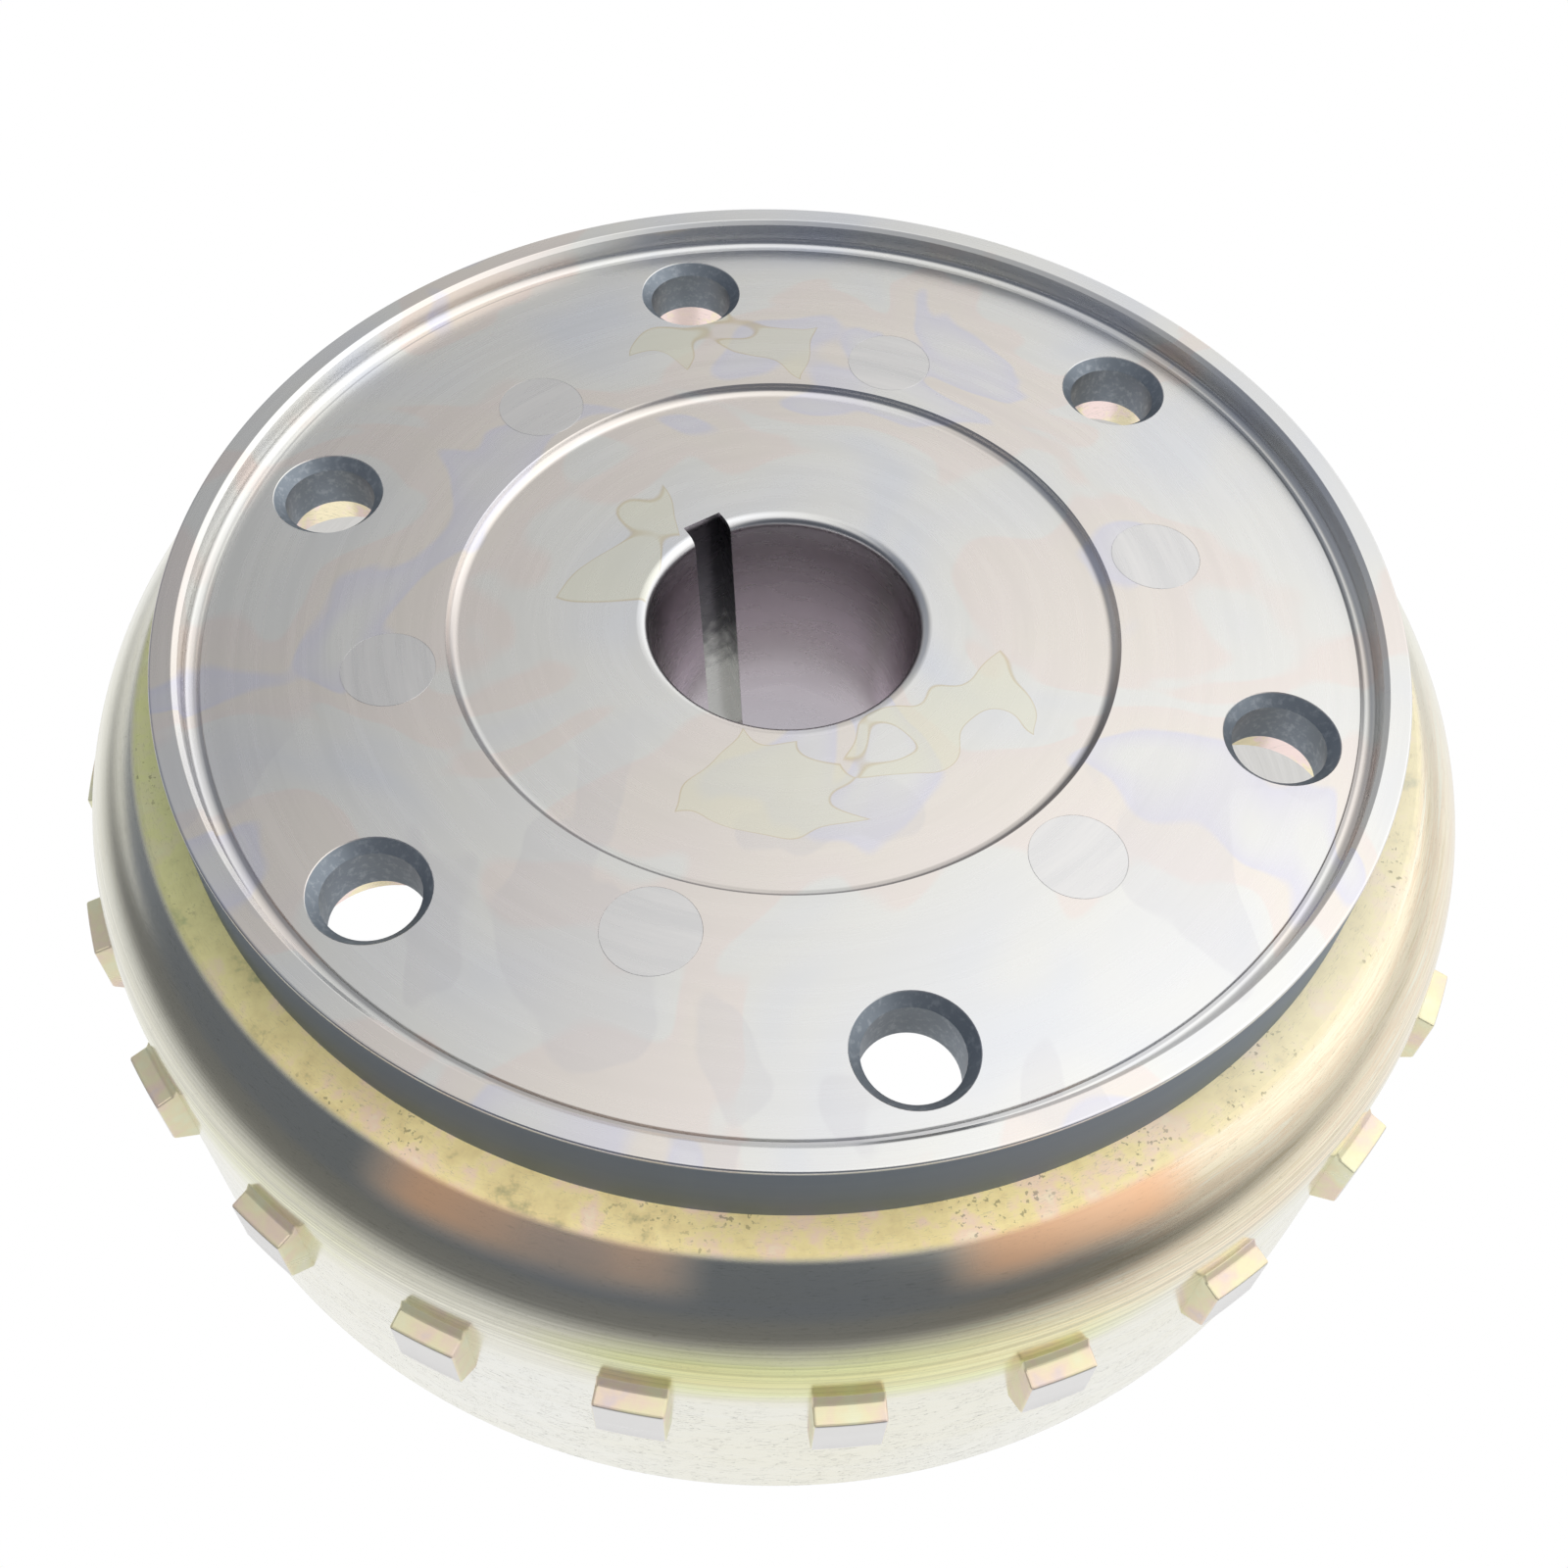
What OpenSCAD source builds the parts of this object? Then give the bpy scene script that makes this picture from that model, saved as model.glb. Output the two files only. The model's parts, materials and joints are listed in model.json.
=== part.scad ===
// Magneto flywheel of a small engine: a drawn steel cup with pressed timing lugs,
// a machined hub riveted to its floor, and a ring of magnets bonded inside.
// The origin is on the crankshaft axis in the plane of the cup's open edge; +Z points to the hub side.

/* [Cup] */
// Height from the cup's open edge to the top of the hub's rim
total_h = 48; // [46:0.5:52]
// Outer radius of the cup's straight wall
cup_r = 65.45; // [65:0.05:66]
// Thickness of the cup's straight wall
cup_wall = 4.55; // [4.2:0.05:4.8]
// Thickness of the cup's floor under the hub
floor_t = 5.2; // [4.5:0.1:5.6]
// Radius of the rounded shoulder between wall and floor
shoulder_r = 14; // [13:0.5:15]
// Radius of the flat land around the hub, where the shoulder starts
land_r = 58.85; // [58:0.05:59.5]
// Radius of the inside corner between wall and floor
inner_corner_r = 3; // [2:0.5:3]

/* [Timing lugs] */
// Number of equal pitches round the cup
lug_pitches = 24; // [24:1:24]
// Number of lugs; the last pitch is left empty as the index gap
lug_count = 23; // [20:1:23]
// Angle of the first lug
lug_phase = 7.06; // [0:0.01:14]
// Radius over the turned tops of the lugs
lug_r = 67.5; // [67:0.1:68]
// Width of a lug round the cup
lug_w = 5.93; // [5:0.01:6.5]

/* [Hub] */
// Outer radius of the hub flange and its raised rim
rim_r = 56; // [55.5:0.1:56.5]
// Radius of the register recess that centres the starter clutch
register_r = 53.65; // [53:0.05:54]
// Depth of the bolting face below the top of the rim
face_drop = 2.6; // [2:0.1:3]
// Total depth from the rim's top to the underside of the flange
flange_h = 7.8; // [7:0.1:8.5]
// Radius of the recessed disc round the bore
disc_r = 30.8; // [30:0.1:31.5]
// Depth of that disc below the bolting face
disc_drop = 0.9; // [0.6:0.1:1.2]
// Outer radius of the boss inside the cup
boss_r = 23; // [22:0.5:25]
// Height of the boss end above the cup's open edge
boss_end_z = 5.5; // [4:0.5:8]

/* [Crankshaft bore] */
// Radius of the taper at its large end
taper_r = 12.5; // [12:0.1:13]
// Radius lost per millimetre of depth (a 1:5 cone on diameter)
taper_slope = 0.1; // [0.08:0.01:0.12]
// Radius of the chamfer at the bore's mouth
mouth_r = 13.6; // [13.3:0.1:14]
// Wall radius of the puller thread in the boss end
puller_r = 14.25; // [13.5:0.05:15]
// Depth of the puller thread
puller_depth = 9; // [7:0.5:10]
// Width of the keyway
key_w = 4; // [3:0.5:5]
// Depth of the keyway below the taper's surface
key_depth = 2; // [1.5:0.1:2.5]
// Angle of the keyway
key_angle = 125.5; // [0:0.5:360]

/* [Bolt holes and rivets] */
// Number of bolt holes, and of rivets between them
fastener_count = 6; // [6:1:6]
// Radius of the bolt circle
bolt_circle_r = 45.7; // [45:0.1:46.2]
// Radius of a bolt hole
bolt_hole_r = 4.2; // [4:0.05:4.5]
// Radius of a bolt hole's chamfer at the face
bolt_mouth_r = 5.2; // [4.8:0.1:5.4]
// Radius of the clearance holes for the bolt heads in the cup's floor
head_hole_r = 7; // [6.6:0.1:7.2]
// Angle of the first bolt hole
bolt_phase = 44.73; // [0:0.01:60]
// Radius of the rivet circle
rivet_circle_r = 36; // [35:0.5:37]
// Radius of a rivet's shank
rivet_r = 3.5; // [3:0.1:3.8]
// Radius of the rivet's upset end, turned flush with the face
rivet_flush_r = 4.2; // [4:0.1:4.6]
// Radius of the rivet's head inside the cup
rivet_head_r = 6.5; // [6:0.1:7]
// Height of the rivet's head
rivet_head_h = 3.2; // [2.5:0.1:4]

/* [Magnets] */
// Number of magnets in the ring
magnet_count = 12; // [12:2:12]
// Inner radius of the magnets
magnet_in_r = 54.7; // [54:0.1:55.5]
// Height of the magnets' lower ends above the open edge
magnet_z0 = 5; // [4.5:0.5:6]
// Height of the magnets' upper ends
magnet_z1 = 33; // [31:0.5:33]
// Width of the gap between two magnets, filled by a rib of the cage
rib_w = 2.4; // [2:0.1:3]
// Thickness of the thin steel cover over the magnets
cover_t = 0.5; // [0.4:0.1:0.6]

/* [Hidden] */
$fn = 96;
cup_in_r = cup_r - cup_wall;
land_z = total_h - flange_h;
floor_z = land_z - floor_t;
face_z = total_h - face_drop;
disc_z = face_z - disc_drop;
edge_break = 0.5;              // small broken edges of the cup and boss
rim_break = 0.4;               // chamfer on the rim's inner edge
relief = 0.3;                  // depth of the turned relief at the foot of the rim
relief_r0 = register_r - 1.45; // inner edge of that relief
lug_root_r = cup_r - 2;        // lugs start inside the wall
lug_top_z = total_h - 22.4;    // top edge of a lug's turned face
lug_low_z = total_h - 28.6;    // lower edge of a lug's turned face
lug_root_top_z = total_h - 21.2;
lug_root_low_z = total_h - 30.3;
lug_step = 0.55;               // radial width of the steep foot on a lug's top
taper_top_z = disc_z - (mouth_r - taper_r);
puller_top_z = boss_end_z + puller_depth;
taper_end_r = taper_r - taper_slope * (taper_top_z - puller_top_z);
bolt_mouth_h = bolt_mouth_r - bolt_hole_r;
rivet_flush_h = 1.2;           // depth of the rivet's countersink
rivet_crown = 1.1;             // rounding height of the rivet head
cage_low_h = 1.6;              // height of the cage's ring at the open end
cage_top_h = 1.6;              // height of the cage's ring at the floor end
cage_top_r = cup_in_r - inner_corner_r;
cage_z0 = magnet_z0 - cage_low_h;
cage_z1 = magnet_z1 + cage_top_h;
cover_in_r = magnet_in_r - cover_t;
cover_z0 = cage_z0 - cover_t;
lip_r = cup_in_r - 1.5;        // outer radius of the cover's rolled lip
seal_rise = 0.5;               // the seal climbs the cup's wall this far
cut = 1;                       // overshoot of cutting shapes

function magnet_name(i) = str("magnet_", i < 10 ? "0" : "", i);

// Points of an arc in the (radius, height) half plane
function arc(r, z, rad, a0, a1, n = 8) =
    [for (i = [0:n]) let (a = a0 + (a1 - a0) * i / n) [r + rad * cos(a), z + rad * sin(a)]];

// Copies of the children round the axis
module around(count, radius, phase) {
    for (i = [0:count - 1])
        rotate([0, 0, phase + i * 360 / count]) translate([radius, 0, 0]) children();
}

// A plain ring between two radii
module ring(r_in, r_out, z0, z1) {
    rotate_extrude() translate([r_in, z0]) square([r_out - r_in, z1 - z0]);
}

// The rivet hole or the rivet's own shank with its flush upset end
module rivet_body(z_low) {
    translate([0, 0, z_low]) cylinder(r = rivet_r, h = face_z - z_low);
    translate([0, 0, face_z - rivet_flush_h])
        cylinder(r1 = rivet_r, r2 = rivet_flush_r, h = rivet_flush_h);
}

// Ring with the section of the lugs, and one block per lug that cuts it to width
module lugs() {
    intersection() {
        rotate_extrude() polygon([
            [lug_root_r, lug_root_low_z],
            [cup_r, lug_root_low_z],
            [lug_r, lug_low_z],
            [lug_r, lug_top_z],
            [cup_r + lug_step, lug_root_top_z - lug_step],
            [cup_r, lug_root_top_z],
            [lug_root_r, lug_root_top_z]
        ]);
        for (i = [0:lug_count - 1])
            rotate([0, 0, lug_phase + i * 360 / lug_pitches])
                translate([lug_root_r - cut, -lug_w / 2, lug_root_low_z - cut])
                    cube([lug_r - lug_root_r + 2 * cut, lug_w, lug_root_top_z - lug_root_low_z + 2 * cut]);
    }
}

// Drawn steel cup: straight wall, rounded shoulder, flat floor, timing lugs
module cup() {
    shoulder_c = cup_r - shoulder_r;
    shoulder_a = acos((land_r - shoulder_c) / shoulder_r);
    shoulder_z = land_z - shoulder_r * sin(shoulder_a);
    color("darkkhaki") difference() {
        union() {
            rotate_extrude() polygon(concat(
                [[boss_r, floor_z]],
                arc(cup_in_r - inner_corner_r, floor_z - inner_corner_r, inner_corner_r, 90, 0, 6),
                [[cup_in_r, edge_break], [cup_in_r + edge_break, 0], [cup_r - edge_break, 0]],
                [[cup_r, edge_break]],
                arc(shoulder_c, shoulder_z, shoulder_r, 0, shoulder_a, 12),
                [[boss_r, land_z]]
            ));
            lugs();
        }
        around(fastener_count, bolt_circle_r, bolt_phase)
            translate([0, 0, floor_z - cut]) cylinder(r = head_hole_r, h = floor_t + 2 * cut);
        around(fastener_count, rivet_circle_r, bolt_phase - 30)
            translate([0, 0, floor_z - cut]) cylinder(r = rivet_r, h = floor_t + 2 * cut);
    }
}

// Keyway cutter, parallel to the taper
module keyway() {
    floor_top = taper_r + key_depth;
    floor_low = floor_top - taper_slope * (taper_top_z - puller_top_z);
    rotate([0, 0, key_angle]) rotate([90, 0, 0]) translate([0, 0, -key_w / 2])
        linear_extrude(key_w) polygon([
            [taper_end_r / 2, puller_top_z - cut],
            [floor_low, puller_top_z - cut],
            [floor_top, taper_top_z],
            [floor_top, disc_z + cut],
            [taper_end_r / 2, disc_z + cut]
        ]);
}

// Machined hub: flange with raised rim, recessed disc, boss, taper bore and keyway
module hub() {
    color("silver") difference() {
        rotate_extrude() polygon([
            [mouth_r, disc_z],
            [disc_r - 1.15, disc_z],
            [disc_r, face_z],
            [relief_r0, face_z],
            [relief_r0 + relief, face_z - relief],
            [register_r - 3 * relief, face_z - relief],
            [register_r, face_z + 2 * relief],
            [register_r, total_h - rim_break],
            [register_r + rim_break, total_h],
            [rim_r - rim_break / 2, total_h],
            [rim_r, total_h - rim_break / 2],
            [rim_r, land_z],
            [boss_r, land_z],
            [boss_r, boss_end_z + edge_break],
            [boss_r - edge_break, boss_end_z],
            [puller_r + edge_break, boss_end_z],
            [puller_r, boss_end_z + edge_break],
            [puller_r, puller_top_z],
            [taper_end_r, puller_top_z],
            [taper_r, taper_top_z]
        ]);
        around(fastener_count, bolt_circle_r, bolt_phase) {
            translate([0, 0, land_z - cut]) cylinder(r = bolt_hole_r, h = flange_h + cut);
            translate([0, 0, face_z - bolt_mouth_h])
                cylinder(r1 = bolt_hole_r, r2 = bolt_mouth_r, h = bolt_mouth_h);
        }
        around(fastener_count, rivet_circle_r, bolt_phase - 30) rivet_body(land_z - cut);
        keyway();
    }
}

// Six rivets that hold the hub to the cup, heads inside, ends turned flush with the face
module rivets() {
    color("gainsboro") around(fastener_count, rivet_circle_r, bolt_phase - 30) {
        rivet_body(floor_z);
        translate([0, 0, floor_z - rivet_head_h + rivet_crown])
            cylinder(r = rivet_head_r, h = rivet_head_h - rivet_crown);
        translate([0, 0, floor_z - rivet_head_h])
            cylinder(r1 = rivet_head_r - rivet_crown, r2 = rivet_head_r, h = rivet_crown);
    }
}

// One magnet: a ring segment between two ribs of the cage
module magnet(i) {
    pitch = 360 / magnet_count;
    reach = cup_r;
    color("dimgray") rotate([0, 0, (i - 1) * pitch]) intersection() {
        ring(magnet_in_r, cup_in_r, magnet_z0, magnet_z1);
        translate([0, 0, magnet_z0 - cut]) linear_extrude(magnet_z1 - magnet_z0 + 2 * cut) polygon([
            for (side = [-1, 1], far = side < 0 ? [0, 1] : [1, 0])
                let (x = far ? reach : magnet_in_r / 2, half = rib_w / 2 / cos(pitch / 2))
                [x, side * (x * tan(pitch / 2) - half)]
        ]);
    }
}

// Moulded cage: one ring at each end and a rib between each pair of magnets
module magnet_cage() {
    color("ivory") {
        ring(magnet_in_r, cup_in_r, cage_z0, magnet_z0);
        ring(magnet_in_r, cage_top_r, magnet_z1, cage_z1);
        intersection() {
            ring(magnet_in_r, cup_in_r, magnet_z0 - cage_low_h / 2, magnet_z1);
            around(magnet_count, 0, 180 / magnet_count)
                translate([magnet_in_r / 2, -rib_w / 2, 0]) cube([magnet_in_r, rib_w, magnet_z1]);
        }
    }
}

// Thin stainless cover over the magnets, with a rolled lip at the open end
module magnet_cover() {
    color("lightsteelblue") rotate_extrude() polygon([
        [cover_in_r, cover_z0],
        [lip_r, cover_z0],
        [lip_r, cage_z0],
        [magnet_in_r, cage_z0],
        [magnet_in_r, cage_z1],
        [cover_in_r, cage_z1]
    ]);
}

// Bead of potting resin between the cover's lip and the cup
module resin_seal() {
    color("darkolivegreen") rotate_extrude() polygon([
        [lip_r, cover_z0],
        [cup_in_r, cover_z0 - seal_rise],
        [cup_in_r, cage_z0],
        [lip_r, cage_z0]
    ]);
}

// Bed of potting resin between the cage and the cup's floor
module resin_bed() {
    color("olive") ring(cover_in_r, cage_top_r, cage_z1, floor_z);
}

cup();
hub();
rivets();
magnet_cage();
magnet_cover();
resin_seal();
resin_bed();
for (i = [1:magnet_count]) magnet(i);
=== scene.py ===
# Looks of a magneto flywheel: plated cup with timing lugs, machined hub, rivets, magnets.
# Outlines are (radius, height) pairs in millimetres, turned round the crankshaft axis.
import json
import math

import bmesh
import bpy
from mathutils import Matrix, Vector


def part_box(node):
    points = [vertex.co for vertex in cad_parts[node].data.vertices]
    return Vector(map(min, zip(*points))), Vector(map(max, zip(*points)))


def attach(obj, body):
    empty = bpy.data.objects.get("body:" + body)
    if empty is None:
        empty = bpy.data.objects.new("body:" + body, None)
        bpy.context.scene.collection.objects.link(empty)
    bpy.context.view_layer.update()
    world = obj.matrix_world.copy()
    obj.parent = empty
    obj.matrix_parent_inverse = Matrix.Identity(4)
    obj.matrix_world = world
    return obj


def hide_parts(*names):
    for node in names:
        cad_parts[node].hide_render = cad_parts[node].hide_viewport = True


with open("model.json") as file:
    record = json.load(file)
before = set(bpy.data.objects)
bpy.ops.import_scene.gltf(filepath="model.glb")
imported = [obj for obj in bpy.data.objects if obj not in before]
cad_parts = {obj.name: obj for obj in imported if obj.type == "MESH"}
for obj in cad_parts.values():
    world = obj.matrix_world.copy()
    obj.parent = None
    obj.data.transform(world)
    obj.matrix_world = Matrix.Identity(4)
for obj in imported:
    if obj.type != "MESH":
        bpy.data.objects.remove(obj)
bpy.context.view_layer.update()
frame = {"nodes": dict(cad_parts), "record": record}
mm = 0.001
mounts = {mount["name"]: mount for mount in frame["record"]["mounts"]}


# ---------------------------------------------------------------------------------------------
# Cup. Drawn from steel plate, with a rounded shoulder, then zinc plated and passivated yellow.
# The bolt heads reach the hub through six punched holes in its floor.

total_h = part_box("hub")[1].z / mm
land_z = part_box("cup")[1].z / mm
floor_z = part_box("resin_bed")[1].z / mm
cup_in_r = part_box("resin_seal")[1].x / mm
cup_r = cup_in_r + 4.55
boss_r = 23.0
land_r = 58.86
shoulder_r = 14.0
bolt_circle_r = mounts["starter_clutch_bolts"]["dims"]["pcd_mm"] / 2
bolt_hole_r = mounts["starter_clutch_bolts"]["dims"]["hole_r_mm"]
head_hole_r = 7.0
bolt_phase = math.radians(44.73)
sixth = math.tau / 6


def arc(r, z, radius, start, end, steps):
    """Points of an arc in the (radius, height) half plane; angles in degrees."""
    turns = [math.radians(start + (end - start) * i / steps) for i in range(steps + 1)]
    return [(r + radius * math.cos(t), z + radius * math.sin(t)) for t in turns]


def rounded(*corners, steps=6, support=0.04):
    """Closed outline through the corners; a corner's third number is the radius that rounds it."""
    outline = []
    for i, corner in enumerate(corners):
        here = Vector(corner[:2])
        if len(corner) == 2:
            outline.append(here)
            continue
        back = (Vector(corners[i - 1][:2]) - here).normalized()
        ahead = (Vector(corners[(i + 1) % len(corners)][:2]) - here).normalized()
        half = back.angle(ahead) / 2
        reach = corner[2] / math.tan(half)
        centre = here + (back + ahead).normalized() * corner[2] / math.sin(half)
        start, end = here + back * reach - centre, here + ahead * reach - centre
        sweep = start.angle_signed(end)
        outline.append(centre + start + back * support)
        outline += [centre + Matrix.Rotation(-sweep * n / steps, 2) @ start for n in range(steps + 1)]
        outline.append(centre + end + ahead * support)
    return [tuple(point) for point in outline]


def make_object(name, shell):
    """Puts a bmesh in the scene with its faces outwards, smooth but for its sharp corners."""
    bmesh.ops.recalc_face_normals(shell, faces=shell.faces)
    mesh = bpy.data.meshes.new(name)
    shell.to_mesh(mesh)
    shell.free()
    piece = bpy.data.objects.new(name, mesh)
    bpy.context.scene.collection.objects.link(piece)
    smooth(piece)
    return piece


def smooth(piece, angle=28):
    """Shades a piece smooth and keeps every corner sharper than the angle."""
    piece.data.polygons.foreach_set("use_smooth", [True] * len(piece.data.polygons))
    piece.data.set_sharp_from_angle(angle=math.radians(angle))


def lathe(name, outline, steps=288, shape=None):
    """Turns a closed outline round the axis; shape(r, z, angle) may change a point's radius."""
    shell = bmesh.new()
    rings = []
    for step in range(steps):
        angle = math.tau * step / steps
        ring = []
        for r, z in outline:
            r = shape(r, z, angle) if shape else r
            ring.append(shell.verts.new((r * mm * math.cos(angle), r * mm * math.sin(angle), z * mm)))
        rings.append(ring)
    for here, there in zip(rings, rings[1:] + rings[:1]):
        for k in range(len(outline)):
            n = (k + 1) % len(outline)
            shell.faces.new((here[k], there[k], there[n], here[n]))
    return make_object(name, shell)


def plug(name, outline, steps=64):
    """A solid of revolution on its own upright axis; the outline runs from the axis to the axis."""
    shell = bmesh.new()
    ring_count = len(outline) - 2
    low = shell.verts.new((0, 0, outline[0][1] * mm))
    high = shell.verts.new((0, 0, outline[-1][1] * mm))
    turns = [math.tau * step / steps for step in range(steps)]
    rings = [
        [shell.verts.new((r * mm * math.cos(t), r * mm * math.sin(t), z * mm)) for t in turns]
        for r, z in outline[1:-1]
    ]
    for step in range(steps):
        n = (step + 1) % steps
        shell.faces.new((low, rings[0][n], rings[0][step]))
        shell.faces.new((high, rings[-1][step], rings[-1][n]))
        for k in range(ring_count - 1):
            shell.faces.new((rings[k][step], rings[k][n], rings[k + 1][n], rings[k + 1][step]))
    return make_object(name, shell)


def set_plain(piece):
    """Turns what the piece's modifiers make into its plain mesh."""
    seen = piece.evaluated_get(bpy.context.evaluated_depsgraph_get())
    mesh = bpy.data.meshes.new_from_object(seen)
    piece.modifiers.clear()
    piece.data = mesh


def ring_tree():
    """Node tree that repeats a piece round the crankshaft axis."""
    tree = bpy.data.node_groups.new("copies_round_axis", "GeometryNodeTree")
    for label, kind in (("Piece", "Geometry"), ("Copies", "Int"), ("Pitch", "Float"),
                        ("First angle", "Float"), ("Finish", "Material")):
        tree.interface.new_socket(label, in_out="INPUT", socket_type="NodeSocket" + kind)
    tree.interface.new_socket("Ring", in_out="OUTPUT", socket_type="NodeSocketGeometry")
    nodes, link = tree.nodes, tree.links.new
    given, made = nodes.new("NodeGroupInput"), nodes.new("NodeGroupOutput")
    points, index = nodes.new("GeometryNodePoints"), nodes.new("GeometryNodeInputIndex")
    turn, spin = nodes.new("ShaderNodeMath"), nodes.new("ShaderNodeCombineXYZ")
    turn.operation = "MULTIPLY_ADD"
    copies, real = nodes.new("GeometryNodeInstanceOnPoints"), nodes.new("GeometryNodeRealizeInstances")
    finish = nodes.new("GeometryNodeSetMaterial")
    link(given.outputs["Copies"], points.inputs["Count"])
    link(index.outputs[0], turn.inputs[0])
    link(given.outputs["Pitch"], turn.inputs[1])
    link(given.outputs["First angle"], turn.inputs[2])
    link(turn.outputs[0], spin.inputs["Z"])
    link(points.outputs[0], copies.inputs["Points"])
    link(given.outputs["Piece"], copies.inputs["Instance"])
    link(spin.outputs[0], copies.inputs["Rotation"])
    link(copies.outputs[0], real.inputs[0])
    link(real.outputs[0], finish.inputs["Geometry"])
    link(given.outputs["Finish"], finish.inputs["Material"])
    link(finish.outputs[0], made.inputs[0])
    return tree


round_axis = ring_tree()


def repeat(piece, copies, pitch, first, finish=None):
    """Repeats a piece round the axis with the node tree and keeps the result as a plain mesh."""
    modifier = piece.modifiers.new("ring", "NODES")
    modifier.node_group = round_axis
    given = {"Copies": copies, "Pitch": pitch, "First angle": first, "Finish": finish}
    for item in round_axis.interface.items_tree:
        if item.in_out == "INPUT" and given.get(item.name) is not None:
            modifier[item.identifier] = given[item.name]
    set_plain(piece)
    smooth(piece)
    return piece


def place(piece, x=0.0, y=0.0, z=0.0):
    """Moves a piece's mesh, in millimetres, and leaves its object at the origin."""
    piece.data.transform(Matrix.Translation((x * mm, y * mm, z * mm)))
    return piece


def cut(piece, *cutters):
    """Takes the cutters out of a piece and removes them."""
    for cutter in cutters:
        modifier = piece.modifiers.new("cut", "BOOLEAN")
        modifier.operation = "DIFFERENCE"
        modifier.solver = "EXACT"
        modifier.object = cutter
    set_plain(piece)
    for cutter in cutters:
        bpy.data.objects.remove(cutter)
    smooth(piece)
    return piece


def punches(name, outline, radius, first):
    """Six cutters on a circle round the axis."""
    return repeat(place(plug(name, outline), x=radius), 6, sixth, first)


shoulder_centre = cup_r - shoulder_r
crease = math.degrees(math.acos((land_r - shoulder_centre) / shoulder_r))
shoulder_z = land_z - shoulder_r * math.sin(math.radians(crease))
cup_outline = (
    [(boss_r, floor_z)]
    + [(cup_in_r - 3.04, floor_z)]
    + arc(cup_in_r - 3, floor_z - 3, 3, 90, 0, 10)
    + [(cup_in_r, 0.6), (cup_in_r + 0.1, 0.35), (cup_in_r + 0.35, 0.1), (cup_in_r + 0.6, 0)]
    + [(cup_r - 0.6, 0), (cup_r - 0.35, 0.1), (cup_r - 0.1, 0.35), (cup_r, 0.6)]
    + [(cup_r, 0.65), (cup_r, 1), (cup_r, 12)]
    + arc(shoulder_centre, shoulder_z, shoulder_r, 0, crease, 32)
    + [(land_r - 0.12, land_z), (boss_r, land_z)]
)
cup = lathe("cup_shell", cup_outline, steps=360)
cup = cut(cup, punches("head_holes", [
    (0, floor_z - 2), (head_hole_r + 0.6, floor_z - 2), (head_hole_r + 0.6, floor_z - 0.4),
    (head_hole_r, floor_z + 0.2), (head_hole_r, land_z - 0.4), (head_hole_r - 0.15, land_z + 2),
    (0, land_z + 2)], bolt_circle_r, bolt_phase))


def node(tree, kind, *inputs, **settings):
    """Adds a shader node; each input is a value, a socket to link, or None to leave it."""
    made = tree.nodes.new("ShaderNode" + kind)
    for key, value in settings.items():
        setattr(made, key, value)
    for socket, value in zip(made.inputs, inputs):
        if isinstance(value, bpy.types.NodeSocket):
            tree.links.new(value, socket)
        elif value is not None:
            socket.default_value = value
    return made


def calc(tree, operation, *inputs):
    """Arithmetic on values or sockets."""
    return node(tree, "Math", *inputs, operation=operation).outputs[0]


def ramp(tree, factor, *stops):
    """Colour ramp; each stop is (position, red, green, blue) or (position, grey)."""
    made = node(tree, "ValToRGB", factor)
    band = made.color_ramp.elements
    while len(band) < len(stops):
        band.new(0.5)
    for element, stop in zip(band, stops):
        element.position = stop[0]
        colour = stop[1:] if len(stop) == 4 else (stop[1],) * 3
        element.color = (*colour, 1)
    return made.outputs[0]


def spread(tree, value, low, high, out_low=0.0, out_high=1.0):
    """Smooth step of a value between two limits."""
    made = node(tree, "MapRange", value, low, high, out_low, out_high, interpolation_type="SMOOTHSTEP")
    return made.outputs[0]


def tint(tree, factor, under, over, way="MIX"):
    """Lays one colour over another by a factor."""
    made = node(tree, "Mix", data_type="RGBA", blend_type=way)
    for socket, value in zip((made.inputs[0], made.inputs[6], made.inputs[7]), (factor, under, over)):
        if isinstance(value, bpy.types.NodeSocket):
            tree.links.new(value, socket)
        else:
            socket.default_value = value if isinstance(value, float) else (*value, 1)
    return made.outputs[2]


def noise(tree, where, scale, detail=2.0, rough=0.5):
    """Cloudy noise from 0 to 1, mostly near 0.5."""
    made = node(tree, "TexNoise", where)
    made.inputs["Scale"].default_value = scale
    made.inputs["Detail"].default_value = detail
    made.inputs["Roughness"].default_value = rough
    return made.outputs[0]


def group(name, inputs, outputs):
    """Starts a shader node group; inputs and outputs map a label to a kind of socket."""
    tree = bpy.data.node_groups.new(name, "ShaderNodeTree")
    for label, (kind, start) in inputs.items():
        socket = tree.interface.new_socket(label, in_out="INPUT", socket_type="NodeSocket" + kind)
        socket.default_value = start
    for label, kind in outputs.items():
        tree.interface.new_socket(label, in_out="OUTPUT", socket_type="NodeSocket" + kind)
    given, made = tree.nodes.new("NodeGroupInput"), tree.nodes.new("NodeGroupOutput")
    return tree, given.outputs, made.inputs


def use(tree, effect, **values):
    """Places a shader node group; underscores in the names stand for spaces."""
    made = tree.nodes.new("ShaderNodeGroup")
    made.node_tree = effect
    for label, value in values.items():
        socket = made.inputs[label.replace("_", " ")]
        if isinstance(value, bpy.types.NodeSocket):
            tree.links.new(value, socket)
        else:
            socket.default_value = value
    return made.outputs


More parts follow.
